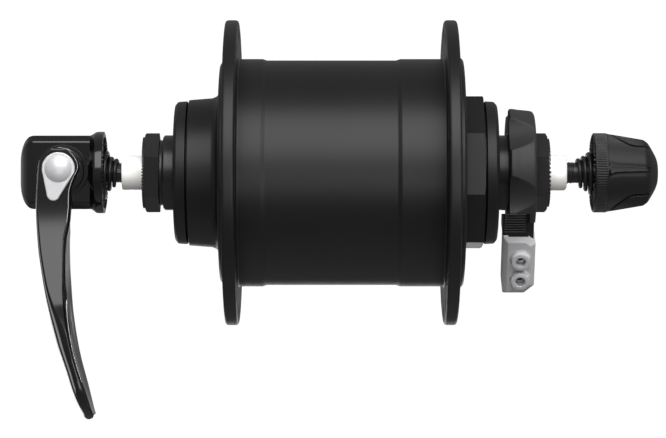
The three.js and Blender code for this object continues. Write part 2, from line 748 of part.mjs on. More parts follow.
function leverHead() {
  const block = plateAlongX(roundedSquare(HEAD_HALF, 2.5), [HEAD_END, -62.6], 3);
  const dome = revolve(
    [
      [HEAD_END, 0],
      [HEAD_END + 0.5, 4],
      [HEAD_END + 1.3, 6.7],
      [HEAD_END + 2.2, 8.2],
      [HEAD_END + 3.6, 9.4],
      [HEAD_END + 5.4, 10.6],
      [HEAD_END + 7, 11.3],
      [-66, 11.3],
      [-62.6, 9.4],
      [-62.6, 0],
    ],
    SKEWER_FACETS
  );
  const ring = revolve(
    [
      [-65, 6],
      [-65, 8.8],
      [-62.8, 9.3],
      [-61.6, HEAD_RING_RADIUS],
      [HEAD_FACE - 0.25, HEAD_RING_RADIUS],
      [HEAD_FACE - 0.25, 6],
    ],
    SKEWER_FACETS
  );
  const boss = rodAlongY([HEAD_BOSS_FRONT, 0], 6.4, 16, PIVOT_X, PIVOT_Z);
  const bore = rodAlongX([-75.4, HEAD_FACE + 1], HEAD_BORE, SKEWER_FACETS);
  const insertSeat = rodAlongX([-61.6, HEAD_FACE + 1], 9.1, SKEWER_FACETS);
  const bushingSeat = rodAlongY([-20, 0], JOURNAL_RADIUS + 1.2, 16, PIVOT_X, PIVOT_Z);
  const backJournal = rodAlongY([0, 8.4], JOURNAL_RADIUS + 0.25, 16, PIVOT_X, PIVOT_Z);
  const head = cut(unite(block.intersect(dome), ring, boss), bore, insertSeat, bushingSeat, backJournal);
  place(skewer, "lever_head", head, "glossBlack");

  const insert = [
    [-61.3, ROD_RADIUS + 0.4],
    [-61.3, 8.8],
    [HEAD_FACE, 8.8],
    [HEAD_FACE, SPRING_SEAT_RADIUS],
    [-60.4, SPRING_SEAT_RADIUS],
    [-60.4, ROD_RADIUS + 0.4],
  ];
  place(skewer, "head_insert", revolve(insert, SKEWER_FACETS), "blackSteel");

  const bushing = rodAlongY([-9.7, -7.1], JOURNAL_RADIUS + 0.9, 16, PIVOT_X, PIVOT_Z);
  const journalHole = rodAlongY([-12, -5], JOURNAL_RADIUS + 0.25, 16, PIVOT_X, PIVOT_Z);
  place(skewer, "cam_bushing", cut(bushing, journalHole), "whiteNylon");
}

function camShaft() {
  const front = rodAlongY([-LEVER_SOCKET.depth + LEVER_BACK, -3], JOURNAL_RADIUS, 16, PIVOT_X, PIVOT_Z);
  const cam = rodAlongY([-3.2, 3.2], CAM_RADIUS, 16, PIVOT_X - CAM_THROW, PIVOT_Z);
  const back = rodAlongY([3, 8.1], JOURNAL_RADIUS, 16, PIVOT_X, PIVOT_Z);
  place(skewer, "cam_shaft", unite(front, cam, back), "bearingSteel");
}

const LEVER_SOCKET = { radius: JOURNAL_RADIUS + 0.1, depth: 1.3 };

function lever() {
  const side = new THREE.Shape();
  side.moveTo(PIVOT_X - 5.1, PIVOT_Z);
  side.absarc(PIVOT_X, PIVOT_Z, 5.1, Math.PI, 0, true);
  side.splineThru([
    new THREE.Vector2(-66.8, -4.5),
    new THREE.Vector2(-67.1, -12),
    new THREE.Vector2(-68.25, -21),
    new THREE.Vector2(-67.8, -34.4),
    new THREE.Vector2(-65.8, -46.1),
    new THREE.Vector2(-62, -59.7),
  ]);
  side.quadraticCurveTo(-62, -61.4, -64.2, -60.4);
  side.splineThru([
    new THREE.Vector2(-67.7, -51.9),
    new THREE.Vector2(-70.85, -42.1),
    new THREE.Vector2(-73.4, -30.6),
    new THREE.Vector2(-74.9, -18.9),
    new THREE.Vector2(-75.4, -9),
    new THREE.Vector2(PIVOT_X - 5.1, PIVOT_Z),
  ]);
  const arm = plateAlongY(side, [-14, 10], 3);

  const paddleHalf = 8.4;
  const front = new THREE.Shape();
  front.moveTo(LEVER_FRONT, 8);
  front.lineTo(LEVER_FRONT, -14);
  front.quadraticCurveTo(LEVER_FRONT, -26, -paddleHalf, -36);
  front.quadraticCurveTo(-paddleHalf, -52, -6.4, -57);
  front.quadraticCurveTo(-4.4, -61.4, 0, -61.4);
  front.quadraticCurveTo(4.4, -61.4, 6.4, -57);
  front.quadraticCurveTo(paddleHalf, -52, paddleHalf, -36);
  front.quadraticCurveTo(paddleHalf, -27, 2, -20);
  front.quadraticCurveTo(-4, -13.5, LEVER_BACK, -13.2);
  front.lineTo(LEVER_BACK, 8);
  front.closePath();
  const width = plateAlongX(front, [-80, -58], 5);

  const socketSpan = [LEVER_BACK - LEVER_SOCKET.depth - 0.1, 0];
  const socket = rodAlongY(socketSpan, LEVER_SOCKET.radius, 16, PIVOT_X, PIVOT_Z);
  place(skewer, "quick_release_lever", cut(arm.intersect(width), socket), "glossBlack");

  const teardrop = new THREE.Shape();
  teardrop.absarc(PIVOT_X, PIVOT_Z, 4, THREE.MathUtils.degToRad(-15), THREE.MathUtils.degToRad(190), false);
  teardrop.absarc(-71, -5.4, 1.6, THREE.MathUtils.degToRad(190), THREE.MathUtils.degToRad(-15), false);
  teardrop.closePath();
  place(skewer, "lever_cap", plateAlongY(teardrop, [LEVER_FRONT - 1.05, LEVER_FRONT - SEAT], 7), "brightSteel");
}

function adjustingNut() {
  let body = revolve(
    [
      [NUT_FACE + 0.25, 9.1],
      [NUT_FACE + 0.25, NUT_RING_RADIUS],
      [63.9, NUT_RING_RADIUS],
      [64.1, NUT_RING_RADIUS - 0.1],
      [73.2, NUT_TIP_RADIUS],
      [74.5, 7.15],
      [75.7, 5.1],
      [76.5, 3.4],
      [NUT_END, 2.2],
      [NUT_END, 0],
      [73.6, 0],
      [73.6, 4.7],
      [62.6, 4.7],
      [62.6, 9.1],
    ],
    SKEWER_FACETS
  );
  const aboveGrips = [
    [65.6, 9.1],
    [65.6, 12],
    [72.8, 12],
    [72.8, 7.9],
  ];
  for (const degrees of [0, 180]) {
    const rib = box([66, 73.6], [-0.7, 0.7], [7, 9.3]);
    const grip = revolve(aboveGrips, SKEWER_FACETS).intersect(box([65, 73], [-6, 6], [4, 12]));
    body = body.add(aboutX(rib, 90 + degrees)).subtract(aboutX(grip, degrees));
  }
  place(skewer, "adjusting_nut", body, "satinBlack");

  const insert = [
    [NUT_FACE, SPRING_SEAT_RADIUS],
    [NUT_FACE, 8.8],
    [62.3, 8.8],
    [62.3, 4.4],
    [71, 4.4],
    [71, AXLE_BORE],
    [61.6, AXLE_BORE],
    [61.6, SPRING_SEAT_RADIUS],
  ];
  place(skewer, "nut_insert", revolve(insert, SKEWER_FACETS), "blackSteel");
}

hubShell();
rightEndCap();
bearings();
hollowAxle();
axleHardware();
terminalCollar();
terminalBlade("front_terminal_blade", -1);
terminalBlade("back_terminal_blade", 1);
leadWire();
plugHousing();
plugCover();
magnets();
stator();
springs();
skewerRod();
leverHead();
camShaft();
lever();
adjustingNut();

export default hub;
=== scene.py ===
"""Front bicycle hub dynamo with its quick-release skewer and lamp connector.

Sizes are in millimetres in the part's own frame: the axle lies along X, +Z is up and the lever
hangs at -X. MM turns them into metres. Angles about the axle run from +Y towards +Z.
"""

import json
import math

import bmesh
import bpy
from mathutils import Matrix, Vector


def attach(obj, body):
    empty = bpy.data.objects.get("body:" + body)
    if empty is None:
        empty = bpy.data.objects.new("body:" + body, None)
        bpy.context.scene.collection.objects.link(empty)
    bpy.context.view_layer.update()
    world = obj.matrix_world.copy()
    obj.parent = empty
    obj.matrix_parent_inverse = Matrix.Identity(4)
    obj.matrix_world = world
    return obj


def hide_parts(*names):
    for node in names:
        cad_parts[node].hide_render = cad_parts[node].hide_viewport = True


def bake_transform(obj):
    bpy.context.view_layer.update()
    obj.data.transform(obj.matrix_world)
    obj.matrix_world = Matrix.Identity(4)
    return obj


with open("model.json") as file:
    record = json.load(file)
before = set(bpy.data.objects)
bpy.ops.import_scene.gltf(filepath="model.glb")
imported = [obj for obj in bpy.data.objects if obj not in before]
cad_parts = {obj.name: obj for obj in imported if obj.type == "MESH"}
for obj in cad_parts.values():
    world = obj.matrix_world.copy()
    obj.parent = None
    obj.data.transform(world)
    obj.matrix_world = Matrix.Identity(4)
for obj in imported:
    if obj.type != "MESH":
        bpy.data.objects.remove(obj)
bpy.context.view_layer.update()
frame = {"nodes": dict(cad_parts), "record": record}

MM = 0.001
TURN = 2 * math.pi
FORWARD = math.pi  # the angle about the axle that faces -Y

# ---------- driving dimensions ----------
FLANGES = {"left": (-29.65, -26.4), "right": (24.05, 27.2)}
FLANGE_RADIUS = 37.6
FLANGE_EDGE = 0.85
SPOKES_PER_FLANGE = 18
SPOKE_CIRCLE = 34.25
SPOKE_HOLE = 1.3
SHELL_LEFT_FACE = -38.65
SHELL_RIGHT_FACE = 28.7
END_CAP_FACE = 33.6
OCTAGON_HALF = 18.0
OCTAGON_TURN = math.radians(39)  # one flat looks forward, 6 degrees up
LOCKNUT_HALF = 8.5
LOCKNUT_TURN = math.radians(7.3)
AXLE_ENDS = (-55.2, 54.3)
COLLAR = {"seat": 40.05, "left": 39.75, "right": 46.2, "radius": 15.95, "right_radius": 15.2}
COLLAR_FLATS = {"plug": 10.1, "cheek": 12.3, "step": 44.7}
PLUG_TILT = math.radians(30)
PIVOT = (-69.8, 0.8)
HEAD_FACE = -59.3
NUT_FACE = 60.5
WIRE_RADIUS = 0.5


# ---------- outlines ----------
def fillet(corners, radius=0.25, steps=3):
    """Rounds the corners of a closed outline. A corner may carry its own radius as a third number."""
    least_bend = 0.2  # a corner that turns less than this is left as it is
    outline = []
    for i, corner in enumerate(corners):
        here = Vector(corner[:2])
        back = Vector(corners[i - 1][:2]) - here
        onward = Vector(corners[(i + 1) % len(corners)][:2]) - here
        bend = math.pi - back.angle(onward)
        own_radius = corner[2] if len(corner) > 2 else radius
        if bend < least_bend or own_radius == 0:
            outline.append(tuple(here))
            continue
        reach = min(own_radius * math.tan(bend / 2), 0.45 * back.length, 0.45 * onward.length)
        start = here + back.normalized() * reach
        end = here + onward.normalized() * reach
        for step in range(steps + 1):
            t = step / steps
            outline.append(tuple(start * (1 - t) ** 2 + here * (2 * t * (1 - t)) + end * t * t))
    return outline


def through(knots):
    """A smooth function through (input, value) knots, held level beyond its ends."""
    knots = sorted(knots)
    slopes = []
    for i in range(len(knots)):
        low, high = knots[max(i - 1, 0)], knots[min(i + 1, len(knots) - 1)]
        slopes.append((high[1] - low[1]) / (high[0] - low[0]))

    def value(at):
        if at <= knots[0][0]:
            return knots[0][1]
        for i in range(len(knots) - 1):
            (a, start), (b, end) = knots[i], knots[i + 1]
            if at <= b:
                span = b - a
                t = (at - a) / span
                bow = t * t * (3 - 2 * t)
                rise = t * (1 - t) ** 2 * span * slopes[i]
                fall = t * t * (1 - t) * span * slopes[i + 1]
                return start + (end - start) * bow + rise - fall
        return knots[-1][1]

    return value


def straight(knots):
    """A function of straight pieces through (input, value) knots."""
    knots = sorted(knots)

    def value(at):
        for (a, start), (b, end) in zip(knots, knots[1:]):
            if at <= b:
                share = min(max((at - a) / (b - a), 0), 1)
                return start + (end - start) * share
        return knots[-1][1]

    return value


def blend_min(a, b, width):
    overlap = max(width - abs(a - b), 0) / width
    return min(a, b) - overlap * overlap * width / 4


def blend_max(a, b, width):
    return -blend_min(-a, -b, width)


def ease(value, start, end):
    share = min(max((value - start) / (end - start), 0), 1)
    return share * share * (3 - 2 * share)


def away(angle, target):
    """The signed angle from target to angle, between -pi and pi."""
    return (angle - target + math.pi) % TURN - math.pi


def steps_between(start, end, spacing):
    count = max(1, round((end - start) / spacing))
    return [start + (end - start) * i / count for i in range(count + 1)]


# ---------- bodies ----------
def to_object(name, bm):
    bmesh.ops.remove_doubles(bm, verts=bm.verts, dist=1e-7)
    bmesh.ops.recalc_face_normals(bm, faces=bm.faces)
    mesh = bpy.data.meshes.new(name)
    bm.to_mesh(mesh)
    bm.free()
    obj = bpy.data.objects.new(name, mesh)
    bpy.context.scene.collection.objects.link(obj)
    return obj


def skin(name, rings, wrap=True, cap=False):
    """Joins rings of points, in millimetres, into one closed body."""
    bm = bmesh.new()
    loops = [[bm.verts.new(Vector(point) * MM) for point in ring] for ring in rings]
    count = len(loops[0])
    pairs = list(zip(loops, loops[1:]))
    if wrap:
        pairs.append((loops[-1], loops[0]))
    on_axis = wrap and all(math.hypot(ring[0][1], ring[0][2]) < 1e-6 for ring in rings)
    for a, b in pairs:
        for i in range(count - 1 if on_axis else count):
            j = (i + 1) % count
            bm.faces.new((a[i], a[j], b[j], b[i]))
    if cap:
        bm.faces.new(loops[0])
        bm.faces.new(reversed(loops[-1]))
    return to_object(name, bm)


def spin(name, profile, segments=96, phase=0.0, angles=None):
    """A body turned about X. profile is a loop of (x, radius), or a function of angle that gives one."""
    rings = []
    for angle in angles or [phase + TURN * i / segments for i in range(segments)]:
        points = profile(angle) if callable(profile) else profile
        rings.append([(x, r * math.cos(angle), r * math.sin(angle)) for x, r in points])
    return skin(name, rings)


def plate(name, outline, y):
    """An XZ outline with a thickness along Y."""
    return skin(name, [[(x, side, z) for x, z in outline] for side in y], wrap=False, cap=True)


def block(name, x, y, z):
    return plate(name, [(x[0], z[0]), (x[1], z[0]), (x[1], z[1]), (x[0], z[1])], y)


def wire(name, points, radius):
    """A round wire whose section stays square to its line, for a line that winds about X."""
    sides = 14
    rings = []
    for i, point in enumerate(points):
        ahead = (points[min(i + 1, len(points) - 1)] - points[max(i - 1, 0)]).normalized()
        out = Vector((0, point.y, point.z)).normalized()
        out = (out - ahead * out.dot(ahead)).normalized()
        across = ahead.cross(out)
        ring = []
        for side in range(sides):
            angle = TURN * side / sides
            ring.append(point + (out * math.cos(angle) + across * math.sin(angle)) * radius)
        rings.append(ring)
    return skin(name, rings, wrap=False, cap=True)


def settle(obj):
    """Makes the object's modifiers part of its mesh."""
    bpy.context.view_layer.update()
    depsgraph = bpy.context.evaluated_depsgraph_get()
    mesh = bpy.data.meshes.new_from_object(obj.evaluated_get(depsgraph))
    obj.modifiers.clear()
    obj.data = mesh
    return obj


def carve(obj, tools, operation="DIFFERENCE"):
    for tool in tools:
        modifier = obj.modifiers.new("carve", "BOOLEAN")
        modifier.operation = operation
        modifier.solver = "EXACT"
        modifier.object = tool
    settle(obj)
    for tool in tools:
        bpy.data.objects.remove(tool)
    return obj


def unite(obj, tools):
    return carve(obj, tools, "UNION")


def soften(obj, width, segments=2):
    modifier = obj.modifiers.new("soften", "BEVEL")
    modifier.width = width * MM
    modifier.segments = segments
    modifier.limit_method = "ANGLE"
    modifier.angle_limit = math.radians(35)
    return settle(obj)


def move(obj, matrix):
    obj.data.transform(matrix)
    obj.data.update()
    return obj


def face_front(obj, x, z):
    """Stands a body turned about X on the line through (x, z) along Y, with its +X end to the front."""
    return move(obj, Matrix.Translation((x * MM, 0, z * MM)) @ Matrix.Rotation(-math.pi / 2, 4, "Z"))


# ---------- finishes ----------
def finish(name, dark, light, roughness, metallic=0.0, grain=0.0, turned=False, coat=0.0):
    """Colour and roughness drift over the surface, with a moulded grain or turning marks about X."""
    material = bpy.data.materials.new(name)
    material.use_nodes = True
    nodes, links = material.node_tree.nodes, material.node_tree.links
    shader = nodes["Principled BSDF"]
    shader.inputs["Metallic"].default_value = metallic
    shader.inputs["Coat Weight"].default_value = coat
    shader.inputs["Coat Roughness"].default_value = 0.12
    place = nodes.new("ShaderNodeTexCoord")

    drift = nodes.new("ShaderNodeTexNoise")
    drift.inputs["Scale"].default_value = 55
    drift.inputs["Detail"].default_value = 5
    links.new(place.outputs["Object"], drift.inputs["Vector"])
    shades = nodes.new("ShaderNodeValToRGB")
    shades.color_ramp.elements[0].position = 0.3
    shades.color_ramp.elements[0].color = (*dark, 1)
    shades.color_ramp.elements[1].position = 0.7
    shades.color_ramp.elements[1].color = (*light, 1)
    links.new(drift.outputs["Fac"], shades.inputs["Fac"])
    links.new(shades.outputs["Color"], shader.inputs["Base Color"])

    fine = nodes.new("ShaderNodeTexNoise")
    fine.inputs["Detail"].default_value = 3
    if turned:
        # marks that run round the axle: the noise reads only x and the distance from the axle
        apart = nodes.new("ShaderNodeSeparateXYZ")
        links.new(place.outputs["Object"], apart.inputs["Vector"])
        across = nodes.new("ShaderNodeCombineXYZ")
        links.new(apart.outputs["Y"], across.inputs["X"])
        links.new(apart.outputs["Z"], across.inputs["Y"])
        distance = nodes.new("ShaderNodeVectorMath")
        distance.operation = "LENGTH"
        links.new(across.outputs["Vector"], distance.inputs[0])
        rings = nodes.new("ShaderNodeCombineXYZ")
        links.new(apart.outputs["X"], rings.inputs["X"])
        links.new(distance.outputs["Value"], rings.inputs["Y"])
        links.new(rings.outputs["Vector"], fine.inputs["Vector"])
        fine.inputs["Scale"].default_value = 2600
    else:
        links.new(place.outputs["Object"], fine.inputs["Vector"])
        fine.inputs["Scale"].default_value = 3800
    spread = nodes.new("ShaderNodeMapRange")
    spread.inputs["To Min"].default_value = roughness * 0.88
    spread.inputs["To Max"].default_value = roughness * 1.12
    links.new(fine.outputs["Fac"], spread.inputs["Value"])
    links.new(spread.outputs["Result"], shader.inputs["Roughness"])
    if grain:
        bump = nodes.new("ShaderNodeBump")
        bump.inputs["Strength"].default_value = grain
        bump.inputs["Distance"].default_value = 0.00004
        links.new(fine.outputs["Fac"], bump.inputs["Height"])
        links.new(bump.outputs["Normal"], shader.inputs["Normal"])
    return material


def grey(level):
    return (level, level, level * 1.02)


FINISHES = {
    "satin_black": finish("satin_black", grey(0.004), grey(0.006), 0.4, grain=0.12, turned=True),
    "gloss_black": finish("gloss_black", grey(0.002), grey(0.004), 0.14, coat=0.5),
    "black_plastic": finish("black_plastic", grey(0.006), grey(0.009), 0.46, grain=0.35),
    "grey_plastic": finish("grey_plastic", grey(0.46), grey(0.52), 0.5, grain=0.3),
    "white_nylon": finish("white_nylon", (0.72, 0.70, 0.64), (0.8, 0.78, 0.73), 0.45, grain=0.1),
    # bright_steel: the steel's own pale tone, raised to near white with little metal as a painted
    # reflection of the white surroundings that polished steel mirrors
    "bright_steel": finish("bright_steel", (0.88, 0.86, 0.83), (0.93, 0.91, 0.88), 0.3, 0.1, 0.1, True),
    "black_steel": finish("black_steel", grey(0.035), grey(0.055), 0.32, 0.6, 0.12, True),
    "bearing_steel": finish("bearing_steel", grey(0.42), grey(0.55), 0.24, 1.0, 0.06, True),
    "soft_iron": finish("soft_iron", grey(0.13), grey(0.2), 0.5, 0.7, 0.3, True),
    "ferrite": finish("ferrite", grey(0.03), grey(0.05), 0.65, 0.0, 0.5),
    "copper_wire": finish("copper_wire", (0.42, 0.15, 0.07), (0.62, 0.26, 0.13), 0.32, 0.9, 0.5, True),
    "brass": finish("brass", (0.55, 0.38, 0.13), (0.68, 0.5, 0.22), 0.3, 0.95, 0.1),
    "rubber": finish("rubber", grey(0.008), grey(0.014), 0.75, 0.0, 0.4),
}
HARD_TEETH = finish("hard_teeth", grey(0.1), grey(0.16), 0.22, 0.9, 0.1)
COLLAR_PLASTIC = finish("collar_plastic", grey(0.03), grey(0.042), 0.5, grain=0.35)
NUT_PLASTIC = finish("nut_plastic", grey(0.007), grey(0.01), 0.5, grain=0.2)
SATIN_CAP = finish("satin_cap", grey(0.56), grey(0.63), 0.36, 0.25, 0.1)


def show(obj, body, slot, *nodes, material=None, sharp=32):
    """Gives a finished piece its shading, finish and body, and hides the CAD nodes that it stands for.
    """
    mesh = obj.data
    mesh.materials.clear()
    mesh.materials.append(material or FINISHES[slot])
    for polygon in mesh.polygons:
        polygon.use_smooth = True
    mesh.set_sharp_from_angle(angle=math.radians(sharp))
    even = obj.modifiers.new("even", "WEIGHTED_NORMAL")
    even.keep_sharp = True
    settle(obj)
    if nodes:
        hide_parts(*nodes)
    if body:
        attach(obj, body)
    return obj


# ---------- hub shell ----------
def hub_shell():
    rim = FLANGE_RADIUS
    left_out, left_in = FLANGES["left"]
    right_in, right_out = FLANGES["right"]
    band = 28.05
    barrel = 27.7
    outline = fillet(
        [
            (SHELL_LEFT_FACE, 15.6),
            (SHELL_LEFT_FACE, 17.95),
            (-32.9, 18.4, 0),
            (-31.7, 18.9, 1.2),
            (-31.2, 20, 1.2),
            (-30.9, 26.6, 0.5),
            (-30.3, 27.5, 0.5),
            (left_out, 27.5, 0.35),
            (left_out, rim, FLANGE_EDGE),
            (left_in, rim, FLANGE_EDGE),
            (left_in, band, 0.5),
            (-20.5, band, 0.4),
            (-19.5, barrel, 0.4),
            (12.3, barrel, 0.4),
            (13.3, band, 0.4),
            (right_in, band, 0.5),
            (right_in, rim, FLANGE_EDGE),
            (right_out, rim, FLANGE_EDGE),
            (right_out, 28.35, 0.3),
            (28.2, 28.35, 0.3),
            (SHELL_RIGHT_FACE, 27.8, 0.3),
            (SHELL_RIGHT_FACE, 25.6),
            (-25.5, 25.6),
            (-25.5, 12.5),
            (-33, 12.5),
            (-33, 15.6),
        ],
        steps=4,
    )
    shell = spin("shell_body", outline, 192)
    drills = bmesh.new()
    for (outer, inner), offset in zip(FLANGES.values(), (0, 0.5)):
        low, high = min(outer, inner), max(outer, inner)
        mouth = SPOKE_HOLE + 0.28
        drill = [
            (low - 0.5, mouth + 0.5),
            (low + 0.28, SPOKE_HOLE),
            (high - 0.28, SPOKE_HOLE),
            (high + 0.5, mouth + 0.5),
        ]
        sides = 24
        for hole in range(SPOKES_PER_FLANGE):
            at = TURN * (hole + offset) / SPOKES_PER_FLANGE
            centre = Vector((0, math.cos(at), math.sin(at))) * SPOKE_CIRCLE
            loops = []
            for x, radius in drill:
                loop = []
                for side in range(sides):
                    angle = TURN * side / sides
                    point = centre + Vector((x, radius * math.cos(angle), radius * math.sin(angle)))
                    loop.append(drills.verts.new(point * MM))
                loops.append(loop)
            for a, b in zip(loops, loops[1:]):
                for i in range(sides):
                    j = (i + 1) % sides
                    drills.faces.new((a[i], a[j], b[j], b[i]))
            drills.faces.new(loops[0])
            drills.faces.new(loops[-1])
    carve(shell, [to_object("drills", drills)])
    show(shell, "shell", "satin_black", "hub_shell")


def prism_radius(angle, half, sides, turn):
    """Distance from the axle to the side of a regular prism at an angle."""
    step = TURN / sides
    return half / math.cos((angle - turn + step / 2) % step - step / 2)


def prism_profile(sides, half, turn, x, bore, chamfers, teeth=None):
    """A nut's section at an angle. Its corners are turned off, and one end may carry radial teeth."""
    corner = half / math.cos(math.pi / sides)
    low_cut, high_cut = chamfers
    low_end = x[0] + low_cut * 0.6 + 0.01
    high_start = x[1] - high_cut * 0.6 - 0.01
    limit = straight(
        [
            (x[0], corner - low_cut),
            (low_end, corner),
            (high_start, corner),
            (x[1], corner - high_cut),
        ]
    )
    stations = [x[0], x[0] + low_cut * 0.2 + 0.005, low_end, (x[0] + x[1]) / 2]
    stations += [high_start, x[1] - high_cut * 0.2 - 0.005, x[1]]

    def profile(angle):
        flat = prism_radius(angle, half, sides, turn)
        points = [(at, min(flat, limit(at))) for at in stations]
        low, high = [(x[0], bore)], [(x[1], bore)]
        if teeth:
            out, count, height, inner, outer = teeth
            wave = abs((angle * count / TURN) % 1 - 0.5) * 2
            crest = height * min(1.5 * wave, 1)
            end = x[0] if out < 0 else x[1]
            top = end + out * crest
            ring = [(end, inner), (top, inner + 0.1), (top, outer), (end, outer)]
            if out < 0:
                low += ring
            else:
                high = [*reversed(ring), *high]
        return [*low, *points, *high]

    return profile


def right_end_cap():
    start, face = 27, END_CAP_FACE
    plug = spin(
        "end_cap_disc",
        fillet([(22.5, 17), (22.5, 25.3), (28.5, 25.3), (28.5, 15.7), (25, 15.7), (25, 17)]),
        144,
    )
    octagon = spin(
        "end_cap",
        prism_profile(8, OCTAGON_HALF, OCTAGON_TURN, (start, face), 15.6, (0.1, 0.4)),
        144,
        OCTAGON_TURN + math.pi / 8,
    )
    unite(octagon, [plug])
    show(octagon, "shell", "satin_black", "right_end_cap")


# ---------- bearings' visible parts, drawn outwards from the bearing's outer face ----------
def dust_caps():
    for side, face, out, start, end in (
        ("left", SHELL_LEFT_FACE, -1, 0.35, 3.35),
        ("right", END_CAP_FACE, 1, 0.45, 3.45),
    ):
        section = fillet(
            [
                (-0.35, 13.9),
                (-0.35, 15.3),
                (start, 15.3, 0),
                (start, 17.65, 0.3),
                (end - 0.7, 17.5, 0.4),
                (end, 16.7, 0.4),
                (end, 13.2, 0.15),
                (end - 0.3, 12.9, 0.15),
                (end - 0.3, 9.76, 0.2),
                (end - 1.1, 9.76),
                (end - 1.1, 12),
                (start, 12),
                (start, 13.9),
            ]
        )
        cap = spin(f"{side}_dust_cover", [(face + out * x, r) for x, r in section], 128)
        show(cap, "shell", "black_plastic", f"{side}_dust_cap")


def cones():
    wrench_flat, flats_start = 8.0, 3.52
    flat_turn = FORWARD + math.radians(45)  # one flat looks forward and down
    for side, face, end, out in (
        ("left", SHELL_LEFT_FACE, 6.35, -1),
        ("right", END_CAP_FACE, 6.4, 1),
    ):
        section = [(-4.45, 4.6), (-4.45, 8.25), (-0.25, 8.25), (0.85, 10.6), (1.45, 10.6)]
        section += [(1.65, 9.26), (3.5, 9.26), (3.55, 9.26), (end - 0.4, 9.26), (end, 8.85), (end, 4.6)]

        def profile(angle, section=section, face=face, out=out):
            points = []
            for x, radius in section:
                if x > flats_start and radius > wrench_flat:
                    radius = min(radius, wrench_flat / max(abs(math.cos(angle - flat_turn)), 0.1))
                points.append((face + out * x, radius))
            return points

        cone = spin(f"{side}_bearing_cone", profile, 120)
        show(cone, "axle_unit", "black_steel", f"{side}_cone")


# ---------- axle and its hardware ----------
def axle():
    left, right = AXLE_ENDS
    section = fillet(
        [
            (left, 2.75, 0.1),
            (left, 4.22, 0.3),
            (-49.6, 4.22, 0),
            (-49.6, 4.4, 0),
            (-22.5, 4.4, 0),
            (-22.5, 5, 0),
            (22.5, 5, 0),
            (22.5, 4.4, 0),
            (right, 4.4, 0.9),
            (right, 2.75, 0.1),
        ],
        steps=5,
    )
    tube = spin("axle_tube", section, 64)
    groove = block("groove", (20.7, 44.2), (-0.8, 0.8), (-8, -3.2))
    move(groove, Matrix.Rotation(PLUG_TILT, 4, "X"))
    carve(tube, [groove])
    # the axle's near-white colour is partly the steel's pale tone and partly painted reflection
    show(tube, "axle_unit", "bright_steel", "hollow_axle")


def axle_hardware():
    turn = LOCKNUT_TURN
    corner = turn + math.pi / 6
    tooth = 0.5
    left_teeth = (-1, 72, tooth, 7.3, 8.8)
    right_teeth = (1, 48, tooth, 7.3, 8.45)
    for side, x, chamfers, teeth in (
        ("left", (-50 + tooth, -45.9), (0.5, 0.1), left_teeth),
        ("right", (46.25, 50 - tooth), (0.1, 0.7), right_teeth),
    ):
        profile = prism_profile(6, LOCKNUT_HALF, turn, x, 4.55, chamfers, teeth)
        nut = spin(f"{side}_lock_nut", profile, 576, corner)
        show(nut, "axle_unit", "black_steel", f"{side}_locknut")
    ring = fillet([(-45.85, 4.6), (-45.85, 8.07), (-45.05, 8.07), (-45.05, 4.6)], 0.15)
    show(spin("spacer_ring", ring, 96), "axle_unit", "black_steel", "left_spacer")


def terminal_collar():
    left, right = COLLAR["left"], COLLAR["right"]
    outer = through(
        [
            (left, COLLAR["radius"] - 0.5),
            (left + 0.35, COLLAR["radius"]),
            (left + 2.6, COLLAR["radius"] - 0.32),
            (right - 0.7, COLLAR["right_radius"]),
            (right - 0.3, COLLAR["right_radius"] - 0.25),
            (right, COLLAR["right_radius"] - 0.8),
        ]
    )
    stations = [left, left + 0.18, *steps_between(left + 0.35, right - 0.7, 0.15)]
    stations += [right - 0.5, right - 0.3, right - 0.15, right - 0.05, right]
    scallop_radius, slope, floor = 7.6, 0.29, 13.05
    stretch = 1 / math.cos(math.atan(slope))
    scallops = [FORWARD - math.radians(38 + 60 * i) for i in range(6)]

    def scallop(x, angle):
        """Where a ray from the axle meets the slanted round cutter of the nearest scallop."""
        lean = min((away(angle, at) for at in scallops), key=abs)
        centre = floor + slope * (x - left) + scallop_radius * stretch
        across, along = math.sin(lean) / scallop_radius, math.cos(lean) / (scallop_radius * stretch)
        shift = centre / (scallop_radius * stretch)
        a, b, c = across**2 + along**2, along * shift, shift**2 - 1
        inside = b * b - a * c
        return (b - math.sqrt(inside)) / a if inside > 0 else 99

    def profile(angle):
        down = max(-math.sin(angle), 1e-6)
        points = []
        for x in stations:
            flat = COLLAR_FLATS["plug"] if x < COLLAR_FLATS["step"] else COLLAR_FLATS["cheek"]
            radius = blend_min(outer(x), scallop(x, angle), 0.05)
            points.append((x, min(radius, flat / down)))
        return [(COLLAR["seat"], 4.6), (COLLAR["seat"], 9.4), (left, 9.7), *points, (right, 4.6)]

    collar = spin("collar", profile, 540)
    tongue = soften(block("tongue", (40.6, 44), (-1.3, 1.3), (-16, -6)), 0.15)
    move(tongue, Matrix.Rotation(PLUG_TILT, 4, "X"))
    passage = block("passage", (42.2, 43.8), (-0.8, 0.8), (-9.2, -3))
    move(passage, Matrix.Rotation(PLUG_TILT, 4, "X"))
    unite(collar, [tongue])
    carve(collar, [passage])
    show(collar, "axle_unit", "black_plastic", "terminal_collar", material=COLLAR_PLASTIC)


